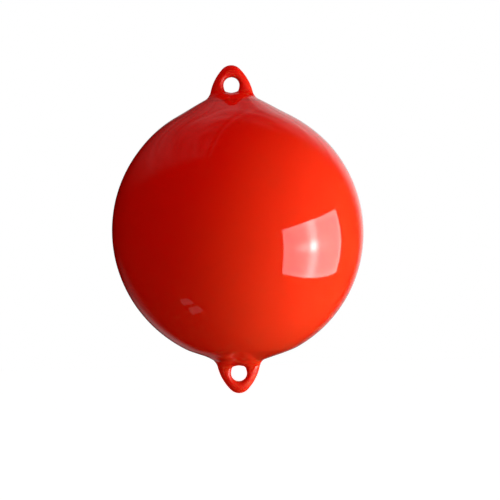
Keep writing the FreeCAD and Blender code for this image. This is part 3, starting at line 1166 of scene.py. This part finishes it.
        work = bmesh.new()
        work.from_mesh(fine)
        work.verts.ensure_lookup_table()
        self.shape(work)
        self.close_root(work)
        turn = Matrix.Identity(4) if self.end is End.UPPER else Matrix.Rotation(math.pi, 4, "Y")
        move = Matrix.Translation((0.0, 0.0, self.lift * MM)) @ turn @ Matrix.Scale(MM, 4)
        bmesh.ops.transform(work, matrix=move, verts=work.verts)
        bmesh.ops.recalc_face_normals(work, faces=work.faces)
        work.to_mesh(fine)
        work.free()
        fine.name = name
        fine.shade_smooth()
        fine.set_sharp_from_angle(angle=SHARP)
        fine.materials.clear()
        fine.materials.append(finish)
        return link(bpy.data.objects.new(name, fine))

    def close_root(self, work: bmesh.types.BMesh) -> None:
        """Close the eye below its seam with the root that sits inside the ball.

        Args:
            work: The eye's mesh, open at the seam.
        """
        slope = self.skin.slope(self.end)
        inner_seam = self.skin.seam(self.end) - self.skin.wall / math.cos(slope)
        flange = inner_seam - (self.flange_radius - self.skin.seam_radius) * math.tan(slope)
        under = flange - self.flange_thick
        ring = [e for e in work.edges if e.is_boundary]
        for radius, height in ((self.skin.seam_radius, inner_seam), (self.flange_radius, flange),
                               (self.flange_radius, under), (self.core_radius, under)):
            made = bmesh.ops.extrude_edge_only(work, edges=ring)["geom"]
            ring = [g for g in made if isinstance(g, bmesh.types.BMEdge) and g.is_boundary]
            for vertex in {v for e in ring for v in e.verts}:
                flat = self.skin.plain(np.array([vertex.co]), self.end)[0, :2]
                flat *= radius / np.hypot(*flat)
                vertex.co = self.skin.shaped(np.array([[*flat, height]]), self.end)[0]
        bmesh.ops.holes_fill(work, edges=ring)


# ---------------------------------------------------------------- valve

def ribbed_head_group(sizes: dict[str, object]) -> bpy.types.NodeTree:
    """Geometry group: a turned head with grip ribs set round its edge.

    Args:
        sizes: The head and its ribs' sizes, which are the group's inputs.

    Returns:
        The group.
    """
    group = Group("Ribbed Head", "GeometryNodeTree", sizes, {"Geometry": "Geometry"})
    size = group.given
    head = group.wire("GeometryNodeObjectInfo", {"Object": size["Head"]}, "Geometry")
    circle = group.wire("GeometryNodeMeshCircle", {
        "Vertices": size["Ribs"], "Radius": size["Rib Circle"]})
    raised = group.transform(circle, group.vector(z=size["Rib Height"]))
    rib = group.wire("GeometryNodeMeshCylinder", {
        "Vertices": size["Rib Sides"], "Radius": size["Rib Radius"],
        "Depth": size["Rib Length"]}, "Mesh")
    ribs = group.wire("GeometryNodeInstanceOnPoints", {"Points": raised, "Instance": rib})
    real = group.wire("GeometryNodeRealizeInstances", {"Geometry": ribs})
    smooth = group.wire("GeometryNodeSetShadeSmooth", {"Geometry": real}, domain="FACE")
    placed = group.transform(group.join([head, smooth]), size["Place"],
                             group.vector(size["Tilt"]))
    return group.finish(Geometry=group.dressed(placed, size["Finish"]))


@dataclass
class Valve:
    """The inflation valve on the upper shoulder: seat, gasket and screw plug. Millimetres.

    Its sections are drawn from the skin at the valve, with heights outwards.
    """

    skin: Skin
    lift: float
    reach: float = 27.0             # from the seam to the valve's axis, level
    turns: int = 96
    skin_steps: int = 6             # how often the skin's height under the weld is refined
    seat_radius: float = 11.0
    recess_radius: float = 8.8
    recess_floor: float = -2.2
    thread_radius: float = 4.2
    stem_radius: float = 7.0
    stem_end: float = -13.0
    collar_radius: float = 13.5
    collar: tuple[float, float] = (-6.6, -4.1)      # its underside and its top
    weld: tuple[tuple[float, float], ...] = (       # heights over the skin
        (11.0, -0.7), (12.4, -0.4), (13.4, -0.12), (12.5, 0.03), (11.9, 0.12), (11.45, 0.26),
        (11.1, 0.5), (10.85, 0.82))
    rim: tuple[tuple[float, float], ...] = (
        (10.5, 0.97), (10.0, 1.0), (9.5, 1.0), (9.12, 0.94), (8.88, 0.76), (8.8, 0.5))
    gasket_section: tuple[tuple[float, float], ...] = (
        (4.2, -2.2), (8.4, -2.2), (8.6, -2.0), (8.6, -1.45), (8.4, -1.2), (4.5, -1.2), (4.2, -1.4))
    plug_section: tuple[tuple[float, float], ...] = (
        (0.0, -10.2), (3.4, -10.2), (4.0, -9.6), (4.0, -1.2), (7.3, -1.2), (7.45, -1.0),
        (7.45, 0.55), (7.36, 0.85), (7.1, 1.1), (6.75, 1.2), (6.2, 1.2), (5.9, 1.05), (0.0, 1.05))
    plug_merge: float = 1e-4        # corners of the plug on its axis are made one
    slot: tuple[float, float] = (1.6, 24.0)         # cutter's width and length
    slot_heights: tuple[float, float] = (-0.1, 1.9)
    ribs: int = 30
    rib_circle: float = 7.35
    rib_radius: float = 0.38
    rib_length: float = 1.5
    rib_height: float = -0.25
    rib_sides: int = 10

    def place(self) -> Vector:
        """Point of the skin on the valve's axis, in the row frame."""
        drop = self.reach * math.tan(self.skin.slope(End.UPPER))
        return Vector((0.0, self.skin.seam_radius + self.reach,
                       self.lift + self.skin.seam(End.UPPER) - drop))

    def skin_drop(self, x: np.ndarray, y: np.ndarray) -> np.ndarray:
        """Height of the skin over the plane that touches it at the valve.

        Args:
            x: Places in the plane, along the row's X.
            y: And down the shoulder.

        Returns:
            The heights.
        """
        slope = self.skin.slope(End.UPPER)
        start = self.place() - Vector((0.0, 0.0, self.lift))
        height = np.zeros_like(x)
        for _ in range(self.skin_steps):
            radial = start.y + y * math.cos(slope) + height * math.sin(slope)
            rise = start.z - y * math.sin(slope) + height * math.cos(slope)
            place = np.stack([x, radial, rise], axis=1)
            height = height - self.skin.distance(place, End.UPPER)
        return height

    def build(self, finishes: dict[str, bpy.types.Material]) -> dict[str, bpy.types.Object]:
        """Make the three pieces.

        Args:
            finishes: The materials by name.

        Returns:
            The objects by the name of the CAD node that each stands for.
        """
        return {"valve_seat": self.seat(finishes["vinyl"]),
                "valve_gasket": self.turned("valve_gasket_ring", self.gasket_section,
                                            finishes["rubber"]),
                "valve_plug": self.plug(finishes["plastic"])}

    def seat(self, finish: bpy.types.Material) -> bpy.types.Object:
        """Make the seat, with a rounded rim, a weld that spreads over the skin, and a stem.

        Args:
            finish: The seat's material.

        Returns:
            The seat's object.
        """
        under, top = self.collar
        inside = [(self.recess_radius, self.recess_floor), (self.thread_radius, self.recess_floor),
                  (self.thread_radius, self.stem_end), (self.stem_radius, self.stem_end),
                  (self.stem_radius, under), (self.collar_radius, under),
                  (self.collar_radius, top), (self.seat_radius, top)]
        welded = range(len(inside), len(inside) + len(self.weld))

        def hug(x: np.ndarray, y: np.ndarray, row: int) -> np.ndarray:
            """Height of the skin under the weld's rows, and none for the others."""
            return self.skin_drop(x, y) if row in welded else np.zeros_like(x)

        return self.turned("valve_seat_ring", [*inside, *self.weld, *self.rim], finish, hug)

    def plug(self, finish: bpy.types.Material) -> bpy.types.Object:
        """Make the screw plug, with a slot and with grip ribs round its head.

        Args:
            finish: The plug's material.

        Returns:
            The plug's object.
        """
        points, faces = lathe(self.plug_section, self.turns)
        head = mesh_object("plug_head", points * MM, faces, finish)
        mend(head.data, self.plug_merge * MM)
        width, length = self.slot
        box = [(x * MM, y * MM, z * MM) for x in (-width / 2, width / 2)
               for y in (-length / 2, length / 2) for z in self.slot_heights]
        sides = [(0, 1, 3, 2), (4, 6, 7, 5), (0, 4, 5, 1), (2, 3, 7, 6), (0, 2, 6, 4),
                 (1, 5, 7, 3)]
        cutter = mesh_object("slot_cutter", box, sides, None, None)
        cut = head.modifiers.new("Slot", "BOOLEAN")
        cut.operation, cut.solver, cut.object = "DIFFERENCE", "EXACT", cutter
        head.data = evaluated(head)
        head.modifiers.clear()
        bpy.data.objects.remove(cutter)
        made = grow("valve_plug_head", ribbed_head_group, {
            "Head": head, "Rib Circle": self.rib_circle * MM, "Rib Radius": self.rib_radius * MM,
            "Rib Length": self.rib_length * MM, "Rib Height": self.rib_height * MM,
            "Ribs": self.ribs, "Rib Sides": self.rib_sides,
            "Tilt": -self.skin.slope(End.UPPER), "Place": self.place() * MM, "Finish": finish})
        bpy.data.objects.remove(head)
        made.data.set_sharp_from_angle(angle=SHARP)
        return made

    def turned(self, name: str, section: Sequence[tuple[float, float]],
               finish: bpy.types.Material,
               lift: Callable[[np.ndarray, np.ndarray, int], np.ndarray] | None = None,
               ) -> bpy.types.Object:
        """Make a turned piece and put it on the shoulder, with its faces pointing outwards.

        Args:
            name: The object's name.
            section: Corners of its closed section as (radius, height).
            finish: The piece's material.
            lift: Extra height at places x and y of one row of the section.

        Returns:
            The piece.
        """
        points, faces = lathe(section, self.turns, lift)
        piece = mesh_object(name, points, faces, finish)
        turn = Matrix.Rotation(-self.skin.slope(End.UPPER), 4, "X")
        piece.data.transform(Matrix.Translation(self.place() * MM) @ turn @ Matrix.Scale(MM, 4))
        mend(piece.data)
        return piece


# ---------------------------------------------------------------- studio

@dataclass(frozen=True)
class Glow:
    """Soft patch of brightness in the studio, as the gloss sees it. Angles in degrees."""

    azimuth: float                  # 0 is straight behind the buoy, 90 to its right
    elevation: float
    core: float                     # radius of full brightness
    edge: float                     # radius where it has faded away
    strength: float

    def brightness(self, tree: Tree, toward: Wire) -> Wire:
        """Add nodes that give the patch's brightness.

        Args:
            tree: The world's node tree.
            toward: The direction looked in.

        Returns:
            The brightness in that direction.
        """
        azimuth, elevation = math.radians(self.azimuth), math.radians(self.elevation)
        centre = (math.sin(azimuth) * math.cos(elevation), math.cos(azimuth) * math.cos(elevation),
                  math.sin(elevation))
        straight = 0.99999          # the arc cosine is taken of no more than this
        apart = tree.math("ARCCOSINE", tree.math("MINIMUM", tree.dot(toward, centre), straight))
        return tree.smooth_step(apart, math.radians(self.core), math.radians(self.edge),
                                self.strength, 0.0)


@dataclass(frozen=True)
class Drape:
    """Pale cloth over the buoy, as the gloss sees it, with two straight hems and level folds."""

    strength: float = 0.07
    hems: tuple[tuple[Point, float, float], ...] = (
        ((-1.0, 0.47, 0.0), 0.225, 0.04),       # direction, where the hem is, how soft it is
        ((0.0, 0.573, 0.82), 0.5, 0.16),
        ((0.0, 0.0, 1.0), 0.2, 0.5),            # where the cloth begins, low down
    )
    loose: float = 0.08             # brightness of the loose edge beside the first hem
    loose_place: float = -0.04      # how far it is inside the hem
    loose_width: float = 0.02
    fold_depth: float = 3.5
    fold_range: tuple[float, float] = (0.2, 0.5)    # heights over which the folds come in
    fold_scale: Point = (1.2, 1.2, 17.0)
    fold_bend: float = 0.3
    bend_scale: float = 1.7
    darkest: float = 0.15           # least share of the brightness in a fold

    def brightness(self, tree: Tree, toward: Wire) -> Wire:
        """Add nodes that give the cloth's brightness.

        Args:
            tree: The world's node tree.
            toward: The direction looked in.

        Returns:
            The brightness in that direction.
        """
        inside = [tree.dot(toward, direction) - place for direction, place, _ in self.hems]
        cover = [tree.smooth_step(far, 0.0, soft) for far, (_, _, soft) in zip(inside, self.hems)]
        edge = tree.bell(inside[0] - self.loose_place, self.loose_width)
        return (edge * self.loose + cover[0] * self.strength) * (cover[1] * cover[2])

    def folds(self, tree: Tree, toward: Wire) -> Wire:
        """Add nodes that streak what is above the buoy with soft level folds.

        Args:
            tree: The world's node tree.
            toward: The direction looked in.

        Returns:
            What the brightness is multiplied by.
        """
        x, y, z = tree.parts(toward)
        level = z + tree.noise(toward, self.bend_scale, detail=1.0) * self.fold_bend
        place = tree.vector(*(part * scale for part, scale in zip((x, y, level), self.fold_scale)))
        streak = tree.noise(place, 1.0, detail=3.0, roughness=0.6)
        depth = tree.smooth_step(z, *self.fold_range, 0.0, self.fold_depth)
        return tree.math("MAXIMUM", (streak - 0.5) * depth + 1.0, self.darkest)


@dataclass(frozen=True)
class Panel:
    """Soft panel to the right, with the brighter cross and core that its lamp gives.

    Places and widths on it are shares of its own width and height.
    """

    corners: tuple[Point, ...] = (  # metres from the middle of the ball
        (0.816, 0.080, 0.172), (0.790, 0.206, -0.332), (0.500, -0.567, -0.481),
        (0.529, -0.701, 0.008))
    on_cloth: tuple[tuple[int, int], ...] = ((1, 1), (1, 0), (0, 0), (0, 1))    # the same corners
    lamp: tuple[float, float] = (0.46, 0.56)
    plain: float = 2.8              # brightness all over
    slant: float = 0.6              # more towards the right
    hem: float = 0.05               # bright line inside the edge, as bright as 1
    hem_width: float = 0.03
    wash: tuple[float, float] = (0.4, 2.0)          # width and brightness of each part
    upright: tuple[float, float] = (0.07, 4.8)
    level: tuple[float, float] = (0.22, 2.0)
    aside: tuple[float, float] = (0.08, 2.4)
    aside_place: float = -0.15      # of the level arm's brighter part, from the lamp
    level_height: float = 0.08
    core: tuple[float, float] = (0.05, 15.0)

    def brightness(self, tree: Tree) -> Wire:
        """Add nodes that give the panel's brightness.

        Args:
            tree: The material's node tree.

        Returns:
            The brightness, which is nothing on the panel's back.
        """
        x, y, _ = tree.parts(tree.wire("ShaderNodeTexCoord", output="UV"))
        across, up = x - self.lamp[0], y - self.lamp[1]
        edge = tree.math("MINIMUM", *(tree.math("MINIMUM", part, 1.0 - part) for part in (x, y)))
        row = tree.bell(up, self.level_height)
        arm = (tree.bell(across - self.aside_place, self.aside[0]) * self.aside[1]
               + tree.bell(across, self.level[0]) * self.level[1])
        total = (self.plain + tree.bell(across, self.wash[0]) * self.wash[1] + x * self.slant
                 + tree.bell(edge - self.hem, self.hem_width)
                 + tree.bell(across, self.upright[0]) * self.upright[1] + row * arm
                 + tree.bell(across, self.core[0]) * row * self.core[1])
        return total * (1.0 - tree.wire("ShaderNodeNewGeometry", output="Backfacing"))


@dataclass
class Studio:
    """Floor, lights, surroundings and camera round the buoy. Metres."""

    centre: Vector                  # middle of the ball
    eyes_middle: Vector             # half way between the holes of the eyes
    view_width: float = 0.60425
    view_distance: float = 3.0
    film: float = 36.0              # the camera's sensor, in millimetres
    roll: float = math.radians(1.5)
    aside: float = 0.0179           # how far the view's centre is to the right of the eyes
    below: float = 0.0252           # and below them
    floor_height: float = -0.34
    floor_reach: float = 6.0
    floor_white: float = 0.97       # what the floor gives off for the camera
    floor_shade: float = 0.6
    fill: Point = (0.43, -0.32, 0.36)           # how the fill light grows along X, Y and Z
    fill_even: float = 0.412
    fill_colour: Point = (1.0, 0.08, 0.08)
    flag_across: tuple[float, float] = (0.14, 1.2)      # from the middle of the ball
    flag_heights: tuple[float, float] = (-0.8, 0.6)
    window_strength: float = 0.35
    window_corners: tuple[Point, ...] = (
        (-0.238, -0.127, -0.258), (-0.213, -0.166, -0.265), (-0.187, -0.161, -0.287),
        (-0.222, -0.110, -0.277), (-0.204, -0.116, -0.290), (-0.176, -0.161, -0.294),
        (-0.148, -0.154, -0.313), (-0.185, -0.093, -0.308))
    soft_panel: Panel = Panel()
    drape: Drape = Drape()
    glows: tuple[Glow, ...] = (
        Glow(16.0, 15.0, 8.0, 28.0, 0.68),
        Glow(15.0, -5.0, 4.0, 19.0, 0.33),
        Glow(30.0, 35.0, 4.0, 20.0, 0.2),
        Glow(5.0, 42.0, 4.0, 18.0, 0.1),
        Glow(28.0, 56.0, 3.0, 15.0, 0.08),
        Glow(-20.0, 52.0, 5.0, 38.0, 0.04),
        Glow(-12.0, 50.0, 4.0, 16.0, 0.09),
        Glow(-3.0, 12.0, 2.0, 9.0, 0.12),
        Glow(-15.0, -20.0, 2.0, 15.0, 0.22),
        Glow(-30.0, -18.0, 2.0, 16.0, 0.05),
    )

    def build(self) -> None:
        """Make everything, in order."""
        scene = bpy.context.scene
        scene.view_settings.view_transform = "Standard"
        self.surroundings(scene)
        self.panel()
        self.flag()
        self.window()
        self.floor()
        self.camera(scene)

    def surroundings(self, scene: bpy.types.Scene) -> None:
        """Make the world: white to the camera, a dark room with pale glows to the gloss.

        Args:
            scene: The scene that it is set in.
        """
        world = bpy.data.worlds.new("Studio")
        scene.world = world
        world.use_nodes = True
        world.cycles.sampling_method = "NONE"
        world.node_tree.nodes.clear()
        tree = Tree(world.node_tree)
        toward = tree.wire("ShaderNodeTexCoord", output="Generated")
        gloss: Number = 0.0
        for patch in (*self.glows, self.drape):
            gloss += patch.brightness(tree, toward)
        gloss *= self.drape.folds(tree, toward)
        fill: Number = self.fill_even
        for part, share in zip(tree.parts(toward), self.fill):
            fill += part * share
        path = tree.wires("ShaderNodeLightPath")
        diffuse = path["Is Diffuse Ray"] * tree.math("MAXIMUM", fill, 0.0)
        direct = tree.math("MAXIMUM", path["Is Camera Ray"], path["Is Transmission Ray"])
        plain = tree.math("MAXIMUM", gloss * path["Is Glossy Ray"], direct)
        colour = tree.wire("ShaderNodeMix", {
            "Factor": path["Is Diffuse Ray"], 6: WHITE, 7: (*self.fill_colour, 1.0)}, 2,
            data_type="RGBA")
        shade = tree.wire("ShaderNodeBackground", {"Color": colour, "Strength": plain + diffuse})
        tree.add("ShaderNodeOutputWorld", {"Surface": shade})

    def around(self, corners: Iterable[Point]) -> list[Vector]:
        """Places measured from the middle of the ball, in the row frame."""
        return [self.centre + Vector(corner) for corner in corners]

    def sheet(self, name: str, points: Sequence[Iterable], material: bpy.types.Material,
              *hidden: Ray) -> bpy.types.Object:
        """Make flat four-cornered faces for the studio.

        Args:
            name: The object's name.
            points: The corners, four for each face.
            material: The material.
            hidden: The rays that it is hidden from.

        Returns:
            The object.
        """
        faces = [tuple(range(first, first + 4)) for first in range(0, len(points), 4)]
        thing = mesh_object(name, points, faces, material, None)
        for ray in hidden:
            setattr(thing, ray.value, False)
        return thing

    def panel(self) -> None:
        """Hang the soft panel to the right of the buoy."""
        material, tree = new_material("panel_cloth")
        tree.show(tree.light(self.soft_panel.brightness(tree)))
        panel = self.sheet("soft_panel", self.around(self.soft_panel.corners), material,
                           Ray.CAMERA, Ray.SHADOW)
        uv = panel.data.uv_layers.new(name="Cloth")
        for loop, place in zip(panel.data.loops, self.soft_panel.on_cloth):
            uv.data[loop.index].uv = place

    def flag(self) -> None:
        """Hang a dark cloth that hides the panel from the gloss at the back, clear in front."""
        (near, far), (low, high) = self.flag_across, self.flag_heights
        material, tree = new_material("flag_cloth")
        behind = tree.wire("ShaderNodeNewGeometry", output="Backfacing")
        tree.show(tree.mix(behind, tree.matt(BLACK), tree.wire("ShaderNodeBsdfTransparent")))
        corners = [(near, 0.0, low), (near, 0.0, high), (far, 0.0, high), (far, 0.0, low)]
        flag = self.sheet("flag", self.around(corners), material, *Ray)

    def window(self) -> None:
        """Make two dim panes low on the left, which only the gloss shows."""
        material, tree = new_material("window_glass")
        tree.show(tree.light(self.window_strength))
        window = self.sheet("window", self.around(self.window_corners), material,
                            Ray.CAMERA, Ray.DIFFUSE, Ray.SHADOW)

    def floor(self) -> None:
        """Lay a plain pale floor below the buoy, which keeps its shadow and is open from below."""
        material, tree = new_material("pale_floor")
        path = tree.wires("ShaderNodeLightPath")
        seen = tree.math("MAXIMUM", path["Is Camera Ray"], path["Is Transmission Ray"])
        pale = tree.matt((*[self.floor_shade] * 3, 1.0))
        lit = tree.wire("ShaderNodeAddShader", {0: pale, 1: tree.light(self.floor_white)})
        under = tree.math("MAXIMUM", tree.wire("ShaderNodeNewGeometry", output="Backfacing"),
                          path["Is Glossy Ray"])
        tree.show(tree.mix(under, tree.mix(seen, pale, lit),
                           tree.wire("ShaderNodeBsdfTransparent")))
        reach, z = self.floor_reach, self.floor_height
        corners = [(-reach, -reach, z), (reach, -reach, z), (reach, reach, z), (-reach, reach, z)]
        floor = self.sheet("floor", corners, material)

    def camera(self, scene: bpy.types.Scene) -> None:
        """Set the level camera in front of the buoy, turned a little so that the buoy leans left.

        Args:
            scene: The scene that it is set in.
        """
        data = bpy.data.cameras.new("Camera")
        data.sensor_width = self.film
        data.lens = self.film * self.view_distance / self.view_width
        camera = link(bpy.data.objects.new("Camera", data))
        right = Vector((math.cos(self.roll), 0.0, -math.sin(self.roll)))
        up = Vector((math.sin(self.roll), 0.0, math.cos(self.roll)))
        target = self.eyes_middle + right * self.aside - up * self.below
        back = right.cross(up)
        turn = Matrix((right, up, back)).transposed().to_4x4()
        camera.matrix_world = Matrix.Translation(target + back * self.view_distance) @ turn
        scene.camera = camera


# ---------------------------------------------------------------- assembly

FINISHES = {
    "vinyl": Finish("gloss_red_vinyl", colour=(0.72, 0.042, 0.0095), roughness=0.04, mottle=0.03,
                    rub=0.015, scratch=0.03, depth=0.006, depth_ratio=(1.0, 0.06, 0.04),
                    satin=0.42),
    "rubber": Finish("black_gasket_rubber", colour=(0.02, 0.02, 0.021), roughness=0.55,
                     mottle=0.2, grain_scale=2500.0, grain_depth=0.00003),
    "plastic": Finish("black_moulded_plastic", colour=(0.025, 0.025, 0.027), roughness=0.38,
                      mottle=0.15, grain_scale=3500.0, grain_depth=0.00002),
}
EYE_RISES = {End.UPPER: 19.8, End.LOWER: 17.1}      # hole's centre beyond the seam


def dress(piece: bpy.types.Object, node: str) -> None:
    """Make a piece ride on the buoy and stand for a CAD node, and report it.

    Args:
        piece: The finished piece.
        node: The CAD node that it replaces.
    """
    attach(piece, BODY)
    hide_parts(node)
    log.info("%s stands for %s: %d faces", piece.name, node, len(piece.data.polygons))


def main() -> None:
    """Build the buoy from its ball outwards, then the studio round it."""
    logging.basicConfig(level=logging.INFO, format="%(message)s")
    skin = Skin()
    shell_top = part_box("buoy_shell")[1].z / MM
    lift = shell_top - skin.seam(End.UPPER)
    centre = Vector((0.0, 0.0, lift)) * MM
    groups = {"mottle": mottle_group(), "handling": handling_group(), "moulded": moulded_group(),
              "satin": satin_group()}
    finishes = {name: finish.material(groups, centre) for name, finish in FINISHES.items()}

    valve = Valve(skin, lift)
    dress(Ball(skin, lift).build(valve, finishes["vinyl"]), "buoy_shell")
    eyes = {end: Eye(skin, end, lift, rise) for end, rise in EYE_RISES.items()}
    for end, eye in eyes.items():
        name = end.name.lower()
        dress(eye.build(f"{name}_rope_eye", finishes["vinyl"]), f"{name}_eye")
    for node, piece in valve.build(finishes).items():
        dress(piece, node)

    middle = (lift + eyes[End.UPPER].hole + lift - eyes[End.LOWER].hole) / 2
    Studio(centre, Vector((0.0, 0.0, middle)) * MM).build()


if __name__ == "__main__":
    main()
